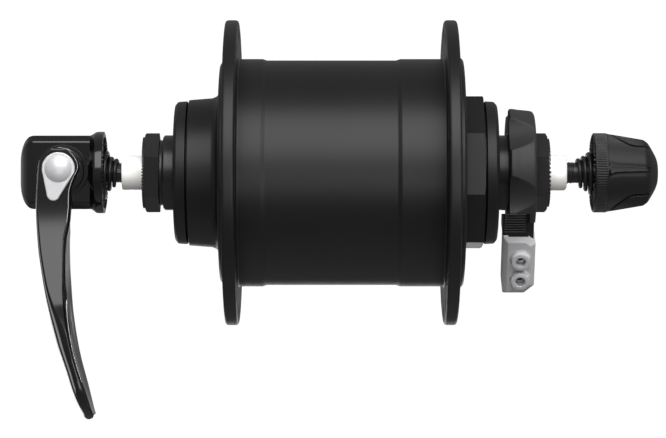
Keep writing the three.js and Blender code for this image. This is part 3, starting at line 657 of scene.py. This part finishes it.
# ---------- plug, drawn hanging straight down and then tilted to the front ----------
def plug_housing():
    half = 3.2
    cheek = COLLAR_FLATS["step"] - 0.1
    top = soften(block("plug_body", (38.85, cheek + 0.3), (-half, half), (-16.1, -4)), 0.2)
    behind = soften(block("plug_back", (cheek - 0.5, 46.75), (-half + 0.9, half), (-18.8, -4)), 0.2)
    stem = soften(block("stem", (40.4, 45.4), (-half, half), (-30.6, -15.4)), 0.2)
    socket = block("socket", (40.3, 44.3), (-2.2, 2.2), (-17, -4))
    unite(top, [behind, stem])
    carve(top, [socket])
    ribs = []
    rib_count, pitch, lowest = 8, 0.7, -15.1
    rib_width, rib_height = 0.42, 0.45
    for i in range(rib_count):
        low = lowest + pitch * i
        y = (-half - rib_height, -half + 0.5)
        rib = block(f"rib_{i}", (39.2, cheek + 0.2), y, (low, low + rib_width))
        ribs.append(soften(rib, 0.19, 3))
    unite(top, ribs)
    move(top, Matrix.Rotation(PLUG_TILT, 4, "X"))
    overlap = 0.02  # the two faces meet, with no line of light between them
    above_flat = block("above_flat", (30, 60), (-30, 30), (overlap - COLLAR_FLATS["plug"], 30))
    beside_cheek = block(
        "beside_cheek",
        (COLLAR_FLATS["step"] + overlap, 60),
        (-30, 30),
        (overlap - COLLAR_FLATS["cheek"], 30),
    )
    carve(top, [above_flat, beside_cheek])
    show(top, "plug", "black_plastic", "plug_housing")


def inset(outline, distance):
    """Moves the sides of a convex outline, given anticlockwise, inwards."""
    moved = []
    for i, corner in enumerate(outline):
        here = Vector(corner)
        back = (here - Vector(outline[i - 1])).normalized()
        onward = (Vector(outline[(i + 1) % len(outline)]) - here).normalized()
        normals = Vector((-back.y, back.x)), Vector((-onward.y, onward.x))
        middle = (normals[0] + normals[1]).normalized()
        moved.append(tuple(here + middle * distance / middle.dot(normals[0])))
    return moved


def plug_cover():
    left, right, high, low, half = 39.2, 47.2, -16.3, -32.5, 4.6
    outline = [
        (left, low),
        (right - 2.5, low),
        (right, low + 2.3),
        (right, high - 1.7),
        (right - 2.2, high),
        (left, high),
    ]
    front_bevel, back_bevel = 1.05, 0.4
    levels = [
        (-half, front_bevel + 0.12),
        (-half + 0.05, front_bevel),
        (-half + front_bevel, 0.06),
        (-half + front_bevel + 0.2, 0.0),
        (half - back_bevel, 0.0),
        (half, back_bevel),
    ]
    rings = []
    for y, depth in levels:
        corners = fillet(inset(outline, depth), 0.5, 4)
        rings.append([(x, y, z) for x, z in corners])
    cover = skin("cover", rings, wrap=False, cap=True)
    pocket = block("pocket", (40.4, 45.4), (-half + 1.2, half - 1.1), (low + 1.6, high + 1))
    carve(cover, [pocket])
    boss_x, stand, boss_radius, hole = 43.5, 1.9, 2.35, 1.2
    for height in (-22, -27.7):
        section = fillet(
            [
                (half - 0.6, 0, 0),
                (half - 0.6, boss_radius + 0.35, 0),
                (half, boss_radius + 0.35, 0),
                (half + 0.35, boss_radius, 0.3),
                (half + stand, boss_radius, 0.35),
                (half + stand, 0, 0),
            ]
        )
        boss = face_front(spin("boss", section, 48), boss_x, height)
        bore = [(half - 2, 0), (half - 2, hole), (half + stand - 0.25, hole)]
        bore += [(half + stand + 0.5, hole + 0.6), (half + stand + 0.5, 0)]
        unite(cover, [boss])
        carve(cover, [face_front(spin("bore", bore, 32), boss_x, height)])
    move(cover, Matrix.Rotation(PLUG_TILT, 4, "X"))
    show(cover, "plug", "grey_plastic", "plug_cover")


# ---------- quick-release skewer ----------
def coil_points(start, end, turns, small, wide, flare):
    """A conical coil along X that widens faster towards its far end."""
    steps_per_turn = 40
    steps = round(turns * steps_per_turn)
    points = []
    for i in range(steps + 1):
        t = i / steps
        x = start + (end - start) * t
        radius = small + (wide - small) * t**flare
        angle = TURN * turns * t
        points.append(Vector((x, radius * math.cos(angle), radius * math.sin(angle))))
    return points


def springs():
    """The left coil is held between the axle and the lever head, the right one between rod and nut."""
    left_start, left_end = AXLE_ENDS[0] - 1.15, HEAD_FACE - 0.45
    right_start, right_end = AXLE_ENDS[1] + 2.6, NUT_FACE + 0.4
    small = 3.05
    for side, start, end, turns, wide, flare, bodies in (
        ("left", left_start, left_end, 2.9, 6.55, 2.4, ("axle_unit", "skewer_slider")),
        ("right", right_start, right_end, 3.2, 5.6, 1.4, ("rod", "nut_slider")),
    ):
        coil = wire(f"{side}_coil", coil_points(start, end, turns, small, wide, flare), WIRE_RADIUS)
        show(coil, None, "black_steel", f"{side}_spring")
        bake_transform(coil)


def rod_thread():
    start, end, pitch = 53.5, 69.0, 0.8
    root, core = 2.51, 2.3
    # the crests fall away where the coil begins, to stay clear of its wire
    crest = straight([(55.8, 2.68), (56.0, 2.54)])
    stations = steps_between(start, end, pitch / 8)

    def profile(angle):
        points = []
        for x in stations:
            wave = abs(((x / pitch + angle / TURN) % 1) * 2 - 1)
            points.append((x, root + (crest(x) - root) * wave))
        return [(start, core), *points, (end, core)]

    show(spin("rod_thread", profile, 48), "rod", "black_steel")


def lever_head():
    half, chamfer_sum = 9.0, 16.5
    face = HEAD_FACE - 0.25
    dome = through(
        [
            (-80.2, 0.0),
            (-80.1, 0.25),
            (-79.75, 0.52),
            (-79, 0.76),
            (-78, 0.92),
            (-77.2, 0.98),
            (-76.4, 1.0),
        ]
    )
    flare = through(
        [
            (-66.2, 7.9),
            (-64.6, 8.85),
            (-63.4, 9.1),
            (-62.5, 9.5),
            (-61.6, 10.05),
            (-61, 10.15),
        ]
    )
    edge = 0.25
    bore, bore_end = 6.9, -75.4
    step = -62.45  # the flat front ends here, at the foot of the ring
    stations = [-80.2, -80.19, -80.16, -80.1, -80, -79.88, *steps_between(-79.75, step - 0.55, 0.22)]
    stations += [step - 0.4, step - 0.25, step - 0.12, step, step + 0.12, step + 0.25]
    stations += steps_between(step + 0.4, face - edge, 0.2)
    stations += [face - edge * share for share in (0.7, 0.4, 0.15, 0)]
    corner = math.atan2(chamfer_sum - half, half)
    edges = [quarter * math.pi / 2 + side * corner for quarter in range(4) for side in (1, -1)]
    angles = {round(math.radians(1.5) * i, 5) for i in range(240)}
    for at in edges:
        angles |= {round((at + math.radians(0.2 * i)) % TURN, 5) for i in range(-9, 10)}
    angles = sorted(angles)

    def square(angle):
        c, s = abs(math.cos(angle)), abs(math.sin(angle))
        return blend_min(half / max(c, s), chamfer_sum / (c + s), 0.3)

    def profile(angle):
        points = []
        for x in stations:
            radius = square(angle) * dome(x)
            if x > -66:
                rising = blend_max(radius, flare(x), 0.1)
                radius = rising + (flare(x) - rising) * ease(x, step - 0.12, step + 0.12)
            if face - x < edge:
                radius -= edge - math.sqrt(max(edge**2 - (edge - face + x) ** 2, 0))
            points.append((x, max(radius, 0)))
        return [*points, (face, bore), (bore_end, bore), (bore_end, 0)]

    head = spin("head_body", profile, angles=angles)
    boss_section = fillet(
        [
            (8, 0, 0),
            (8, 6.5, 0),
            (9.15, 6.5, 0),
            (9.3, 6.35, 0.08),
            (9.3, 5.45, 0.08),
            (9.9, 5.3, 0.1),
            (9.9, 0, 0),
        ]
    )
    boss = face_front(spin("boss", boss_section, 96), PIVOT[0] + 0.5, PIVOT[1] - 0.5)
    unite(head, [boss])
    seat = spin("seat", [(7, 0), (7, 4.9), (9.6, 4.9), (9.6, 4.5), (20, 4.5), (20, 0)], 64)
    notch = block("notch", (-62.2, -60.3), (-12, -9.5), (-6.7, -5.6))
    carve(head, [face_front(seat, *PIVOT), notch])
    show(head, "head", "gloss_black", "lever_head", sharp=24)


def toothed_ring(face, back, out, seat, count):
    """A hardened ring whose outer face is cut with radial teeth that bite the fork end."""
    inner, outer, depth = 7.4, 8.8, 0.7

    def profile(angle):
        wave = abs((angle * count / TURN) % 1 - 0.5) * 2
        tooth = face - out * depth * min(1.6 * wave, 1)
        return [(back, 4.5), (back, outer), (tooth, outer), (tooth, inner), (seat, inner), (seat, 4.5)]

    return profile


def inserts():
    for name, face, back, out, seat, body, node in (
        ("head_teeth", HEAD_FACE, -61.3, 1, -60.4, "head", "head_insert"),
        ("nut_teeth", NUT_FACE, 62.3, -1, 61.6, "nut", "nut_insert"),
    ):
        ring = spin(name, toothed_ring(face, back, out, seat, 44), 704)
        show(ring, body, "black_steel", node, material=HARD_TEETH)


def lever():
    eye_radius = 5.1
    top = PIVOT[1] + eye_radius
    tip, tip_radius = -60.75, 1.45
    tip_centre = (-63.35, tip + tip_radius)
    outer = through(
        [
            (0.8, -74.9),
            (-4.5, -75.25),
            (-9, -75.4),
            (-13, -75.3),
            (-18.9, -74.95),
            (-24.7, -74.25),
            (-30.6, -73.4),
            (-36.4, -72.3),
            (-42.1, -70.85),
            (-47.9, -68.9),
            (-53.8, -67.1),
            (-57.7, -65.6),
            (-60.4, -64.2),
        ]
    )
    inner = through(
        [
            (0.8, -64.7),
            (-1.8, -65.9),
            (-4.5, -66.7),
            (-9, -66.8),
            (-13, -67.2),
            (-16.9, -67.95),
            (-22.8, -68.3),
            (-28.6, -68.2),
            (-34.4, -67.8),
            (-40.2, -67),
            (-46.1, -65.8),
            (-51.9, -64.2),
            (-57.7, -62.6),
            (-59.7, -61.9),
        ]
    )
    front = through(
        [
            (6, -12.9),
            (-4, -12.9),
            (-8, -12.75),
            (-14, -12.2),
            (-20, -11.4),
            (-26, -10.4),
            (-30, -9.73),
            (-31.5, -9.53),
            (-33, -9.45),
            (-36, -9.42),
            (-40, -9.3),
            (-44, -8.9),
            (-52, -7.6),
            (-57, -5.8),
            (-59.5, -4.0),
            (-60.75, -2.2),
        ]
    )
    back = through(
        [
            (-12.4, -10.2),
            (-13.3, -8.6),
            (-15.05, -4.05),
            (-20, 2),
            (-27.5, 6.8),
            (-36, 8.4),
            (-44, 8.1),
            (-52, 7.3),
            (-57, 5.8),
            (-59.5, 4.0),
            (-60.75, 2.2),
        ]
    )
    outer_round = through(
        [
            (6, 0.5),
            (-8, 0.6),
            (-16, 0.85),
            (-22, 0.95),
            (-27.5, 1.15),
            (-31.5, 1.7),
            (-36, 2.8),
            (-40, 3.2),
            (-45, 2.9),
            (-60, 1.6),
        ]
    )
    inner_round = through(
        [
            (6, 0.5),
            (-8, 0.9),
            (-14, 1.15),
            (-22, 0.9),
            (-31, 1.1),
            (-42, 1.0),
            (-52, 0.8),
            (-60, 0.5),
        ]
    )
    back_round = straight([(-60, 1.4), (-34, 2.2), (-16, 0.8), (6, 0.5)])
    cove = through([(-59, 0), (-56, 1), (-32, 1), (-27, 0)])
    dish = through([(-59, 0), (-52, 0.9), (-34, 1.4), (-22, 0)])

    def sides(z):
        if z > PIVOT[1]:
            reach = math.sqrt(max(eye_radius**2 - (z - PIVOT[1]) ** 2, 1e-4))
            return PIVOT[0] - reach, PIVOT[0] + reach
        if z < tip_centre[1]:
            reach = math.sqrt(max(tip_radius**2 - (tip_centre[1] - z) ** 2, 1e-4))
            return tip_centre[0] - reach, tip_centre[0] + reach
        return outer(z), inner(z)

    def arc(centre, start, radius, hollow=0.0):
        """A quarter turn from direction start, bent inwards where it is hollow."""
        steps = 6
        points = []
        for i in range(steps + 1):
            t = math.radians(90) * i / steps
            a = start + t
            bulge = Vector((math.cos(a), math.sin(a)))
            first = Vector((math.cos(start), math.sin(start)))
            last = Vector((-math.sin(start), math.cos(start)))
            scooped = first + last - last * math.cos(t) - first * math.sin(t)
            points.append(centre + bulge.lerp(scooped, hollow) * radius)
        return points

    def section(z):
        left, right = sides(z)
        low, high = front(z), back(z)
        edge = 0.55
        inset = 0
        for distance in (top - z, z - tip):
            if distance < edge:
                inset = edge - math.sqrt(max(edge**2 - (edge - distance) ** 2, 0))
        low, high = low + inset, high - inset
        most = min((right - left) / 2, (high - low) / 2) * 0.96
        wide = (right - left) * 0.97
        r_if = min(inner_round(z), most)
        r_of = min(outer_round(z), (high - low) * 0.48, wide - r_if)
        r_ob = min(outer_round(z) if z < -30 else back_round(z), (high - low) * 0.48, wide - r_if)
        r_ib = min(back_round(z), most)
        points = arc(Vector((left + r_of, low + r_of)), math.pi, r_of)
        points += arc(Vector((right - r_if, low + r_if)), -math.pi / 2, r_if, cove(z))
        hollow = dish(z)
        inner_steps, outer_steps = 10, 8
        for i in range(1, inner_steps):
            t = i / inner_steps
            y = low + r_if + (high - r_ib - low - r_if) * t
            points.append(Vector((right - hollow * math.sin(math.pi * t) ** 0.8, y)))
        points += arc(Vector((right - r_ib, high - r_ib)), 0, r_ib)
        points += arc(Vector((left + r_ob, high - r_ob)), math.pi / 2, r_ob)
        for i in range(1, outer_steps):
            y = high - r_ob + (low + r_of - high + r_ob) * i / outer_steps
            points.append(Vector((left, y)))
        return [(p.x, p.y, z) for p in points]

    heights = [top - 0.004, top - 0.03, top - 0.09, top - 0.18, top - 0.3, top - 0.45]
    heights += list(reversed(steps_between(-11.4, top - 0.7, 0.3)))
    heights += list(reversed(steps_between(-20.9, -11.6, 0.22)))
    heights += list(reversed(steps_between(tip + 1.6, -21.4, 0.6)))
    heights += [tip + share for share in (1.2, 0.9, 0.65, 0.45, 0.3, 0.18, 0.09, 0.03, 0.004)]
    arm = skin("lever_arm", [section(z) for z in heights], wrap=False, cap=True)
    show(arm, "lever", "gloss_black", "quick_release_lever", sharp=50)


def lever_cap():
    outline = []
    for centre, radius, start, end in (
        (PIVOT, 4.0, -15, 190),
        ((-71, -5.4), 1.6, 190, 345),
    ):
        for degrees in steps_between(start, end, 6):
            angle = math.radians(degrees)
            outline.append((centre[0] + radius * math.cos(angle), centre[1] + radius * math.sin(angle)))
    cap = soften(plate("cap", outline, (-13.95, -12.9)), 0.28, 3)
    dome_radius, dome_height = 3.35, 1.35
    ball = (dome_radius**2 + dome_height**2) / (2 * dome_height)
    reach = math.asin(dome_radius / ball)
    face = 13.95
    section = [(face - 0.5, 0), (face - 0.5, dome_radius)]
    dome_steps = 16
    for i in range(dome_steps + 1):
        angle = reach * (1 - i / dome_steps)
        section.append((face + dome_height - ball * (1 - math.cos(angle)), ball * math.sin(angle)))
    unite(cap, [face_front(spin("dome", section, 72), *PIVOT)])
    show(cap, "lever", "bright_steel", "lever_cap", material=SATIN_CAP)


def adjusting_nut():
    """The surface is a cone with a domed nose, a knurled ring, two ribs and two sunk grips."""
    ring, ring_start, ring_end = 9.8, 61.2, 63.85
    back, start, cone_end, tip = 9.05, 60.75, 73.1, 76.85
    bore, bore_end = 4.7, 73.6
    knurls, knurl_depth = 96, 0.09
    rib_height, rib_end, beside_rib = 0.4, 73.6, 0.14
    rib_turn = math.radians(4)  # the rib looks forward and a little up
    rib_slope = math.tan(math.radians(30))  # the rib stands out more along its lower side
    mark_depth, mark_end = 0.5, 74.7  # the hollow before the rib's end
    grip_start, grip_end = 64.2, 74.2
    border_depth, line_depth, line_pitch = 0.7, 0.22, 0.85

    cone = straight(
        [
            (start, ring - 0.3),
            (start + 0.25, ring),
            (63.9, ring),
            (64.1, ring - 0.1),
            (cone_end, 8.17),
        ]
    )
    nose = through(
        [
            (72.9, 8.2),
            (73.3, 8.1),
            (73.9, 7.7),
            (74.5, 7.1),
            (75.7, 5.1),
            (76.4, 3.7),
            (76.8, 2.2),
            (tip, 1),
        ]
    )
    rib_half = through([(63.9, 1.7), (64.8, 1.0), (66, 0.72), (68, 0.58), (73.3, 0.4)])
    grip_half = through(
        [
            (grip_start, 0.1),
            (65, 2.4),
            (66, 4.4),
            (68.5, 6.6),
            (70.7, 7.1),
            (73.6, 6.2),
            (grip_end, 5.6),
        ]
    )
    stations = [start, *steps_between(61, ring_end, 0.3), *steps_between(63.9, cone_end, 0.15)]
    stations += [*steps_between(73.25, 76.2, 0.15), 76.4, 76.6, 76.75, 76.82, tip]

    def surface(x, angle):
        radius = cone(x) if x < cone_end else nose(x)
        if ring_start < x < ring_end:
            return radius - knurl_depth * (1 - abs(math.sin(knurls * angle / 2)))
        below_rib = min(away(angle, FORWARD - rib_turn), -away(angle, -rib_turn), key=abs)
        to_rib = abs(below_rib)
        across = to_rib * radius
        half = rib_half(x)
        along = ease(x, 63.9, 64.6) * (1 - ease(x, 73.5, 74.2))
        beside = 1 - ease(across, half + 0.25, half + 1.3)
        on_rib = 1 - ease(across, half - 0.12, half + 0.12)
        relief = -beside_rib * along * beside * (1 - on_rib)
        if x < rib_end:
            relief += (rib_height + rib_slope * below_rib * radius) * along * on_rib
        elif x < mark_end:
            in_mark = ease(x, rib_end, 73.8) * (1 - ease(x, 74.4, mark_end))
            relief -= mark_depth * (1 - ease(across, 0.5, 0.8)) * in_mark
        inside = grip_half(x) - (math.pi / 2 - to_rib) * radius
        if grip_start < x < grip_end and inside > 0:
            border = ease(inside, 0, 0.25) * (1 - ease(inside, 0.55, 0.8))
            lines = ease(inside, 0.55, 0.8) * (0.5 - 0.5 * math.cos(TURN * inside / line_pitch))
            relief -= border_depth * border + line_depth * lines
        return radius + relief

    def profile(angle):
        outside = [(x, surface(x, angle)) for x in stations]
        hollow = [(bore_end, 0), (bore_end, bore), (62.6, bore), (62.6, back), (start, back)]
        return [*hollow, *outside, (tip, 0)]

    body = spin("nut_body", profile, 576)
    show(body, "nut", "black_plastic", "adjusting_nut", material=NUT_PLASTIC, sharp=38)


# ---------- studio ----------
def stage():
    """A pale dish round the object: a level floor that curves up into a wall on every side."""
    floor, flat, wall, bend = -0.15, 1.6, 3.4, 0.9
    outline = [(floor, 0.5), (floor, flat)]
    bend_steps = 12
    for i in range(1, bend_steps + 1):
        angle = math.radians(90) * i / bend_steps
        outline.append((floor + bend * (1 - math.cos(angle)), flat + bend * math.sin(angle)))
    outline.append((wall, flat + bend))
    bm = bmesh.new()
    segments = 96
    loops = []
    for height, radius in outline:
        loop = []
        for i in range(segments):
            angle = TURN * i / segments
            loop.append(bm.verts.new((radius * math.cos(angle), radius * math.sin(angle), height)))
        loops.append(loop)
    bm.faces.new(loops[0])
    for a, b in zip(loops, loops[1:]):
        for i in range(segments):
            j = (i + 1) % segments
            bm.faces.new((a[i], a[j], b[j], b[i]))
    mesh = bpy.data.meshes.new("studio_dish")
    bm.to_mesh(mesh)
    bm.free()
    for polygon in mesh.polygons:
        polygon.use_smooth = True
    dish = bpy.data.objects.new("studio_dish", mesh)
    bpy.context.scene.collection.objects.link(dish)
    paper = bpy.data.materials.new("studio_paper")
    paper.use_nodes = True
    shader = paper.node_tree.nodes["Principled BSDF"]
    shader.inputs["Base Color"].default_value = (0.86, 0.86, 0.86, 1)
    shader.inputs["Roughness"].default_value = 0.9
    shader.inputs["Emission Color"].default_value = (1, 1, 1, 1)
    shader.inputs["Emission Strength"].default_value = 0.75
    mesh.materials.append(paper)
    dish.visible_glossy = False
    dish.visible_diffuse = False


def area_light(name, place, target, size, power, only):
    """A soft box. It lights everything, or only the named pieces, with no shadow from the others."""
    data = bpy.data.lights.new(name, "AREA")
    data.shape = "RECTANGLE"
    data.size, data.size_y = size
    data.energy = power
    light = bpy.data.objects.new(name, data)
    light.location = place
    toward = Vector(target) - Vector(place)
    light.rotation_euler = toward.to_track_quat("-Z", "Y").to_euler()
    light.visible_camera = False
    bpy.context.scene.collection.objects.link(light)
    if only:
        receivers = bpy.data.collections.new(f"{name}_receivers")
        for piece in only:
            receivers.objects.link(bpy.data.objects[piece])
        light.light_linking.receiver_collection = receivers
        light.light_linking.blocker_collection = receivers


def around(distance, azimuth, elevation):
    """A point at a distance from the hub: azimuth 0 is in front, 90 to the right."""
    a, e = math.radians(azimuth), math.radians(elevation)
    x = distance * math.sin(a) * math.cos(e)
    y = -distance * math.cos(a) * math.cos(e)
    return (x, y, distance * math.sin(e))


def lights():
    world = bpy.data.worlds.new("studio_air")
    bpy.context.scene.world = world
    world.use_nodes = True
    nodes, links = world.node_tree.nodes, world.node_tree.links
    place = nodes.new("ShaderNodeTexCoord")
    apart = nodes.new("ShaderNodeSeparateXYZ")
    links.new(place.outputs["Generated"], apart.inputs["Vector"])
    height = nodes.new("ShaderNodeMapRange")
    height.inputs["From Min"].default_value = -1
    links.new(apart.outputs["Z"], height.inputs["Value"])
    ramp = nodes.new("ShaderNodeValToRGB")
    stops = ((0, 0.3), (0.08, 0.21), (0.2, 0.15), (0.3, 0.17), (0.5, 0.27), (0.62, 0.26), (1, 0.28))
    while len(ramp.color_ramp.elements) < len(stops):
        ramp.color_ramp.elements.new(0.5)
    for element, (position, level) in zip(ramp.color_ramp.elements, stops):
        element.position = position
        element.color = (level, level, level, 1)
    links.new(height.outputs["Result"], ramp.inputs["Fac"])
    links.new(ramp.outputs["Color"], nodes["Background"].inputs["Color"])
    nodes["Background"].inputs["Strength"].default_value = 1

    hub, head, nut = (0, 0, 0), (-0.065, 0, 0), (0.07, 0, 0)
    shell, plug, grips, arm = ["shell_body"], ["plug_body"], ["nut_body"], ["lever_arm"]
    pale = ["cap", "cover", "axle_tube"]
    for name, spot, target, size, power, only in (
        ("key", around(1.3, 10, 38), hub, (1.5, 1.15), 14.5, ()),
        ("lever_card", (-0.1, -0.34, -0.175), (-0.1, -0.012, -0.02), (0.12, 0.2), 0.19, arm),
        ("floor_glow", around(1.3, 180, -14), hub, (1.2, 0.35), 2.2, ()),
        ("barrel_fill", around(1.3, 22, -9), hub, (1.5, 0.45), 3.3, shell),
        ("pale_key", around(1.3, 15, 48), hub, (1.2, 1.0), 15, pale),
        ("pale_fill", around(1.3, 5, -15), hub, (0.9, 0.7), 2.3, pale),
        ("cover_key", around(1.3, 0, 72), hub, (0.8, 0.8), 16, ["cover"]),
        ("rib_light", around(1.2, 0, 42), hub, (0.8, 0.3), 14, plug),
        ("upper_grip_light", around(1.2, 180, 70), nut, (0.8, 0.5), 4, grips),
        ("lower_grip_light", around(1.2, 180, -70), nut, (0.8, 0.5), 1.2, grips),
        ("front_strip", around(1.2, 20, 12), head, (0.1, 1.3), 16, arm),
        ("left_strip", around(1.2, -82, -8), head, (0.5, 1.3), 6, arm),
        ("right_rim", around(1.2, 140, -8), head, (0.06, 1.3), 1.2, arm),
        ("left_rim", around(1.2, -140, -8), head, (0.3, 1.3), 4, arm),
    ):
        area_light(name, spot, target, size, power, only)


def camera():
    data = bpy.data.cameras.new("view")
    data.lens = 161.4
    data.sensor_width = 36
    data.clip_start = 0.01
    view = bpy.data.objects.new("view", data)
    view.location = (-3.23 * MM, -737 * MM, -11.4 * MM)
    view.rotation_euler = (math.pi / 2, 0, 0)
    bpy.context.scene.collection.objects.link(view)
    bpy.context.scene.camera = view
    bpy.context.scene.view_settings.view_transform = "Standard"


def inner_parts():
    """The parts that keep their CAD shape take the finish of their material slot."""
    slots = {row["node"]: row["material_slot"] for row in frame["record"]["subparts"]}
    for name, obj in frame["nodes"].items():
        obj.data.materials.clear()
        obj.data.materials.append(FINISHES[slots[name]])


camera()
stage()
inner_parts()
hub_shell()
right_end_cap()
dust_caps()
cones()
axle()
axle_hardware()
terminal_collar()
plug_housing()
plug_cover()
springs()
rod_thread()
lever_head()
inserts()
lever()
lever_cap()
adjusting_nut()
lights()
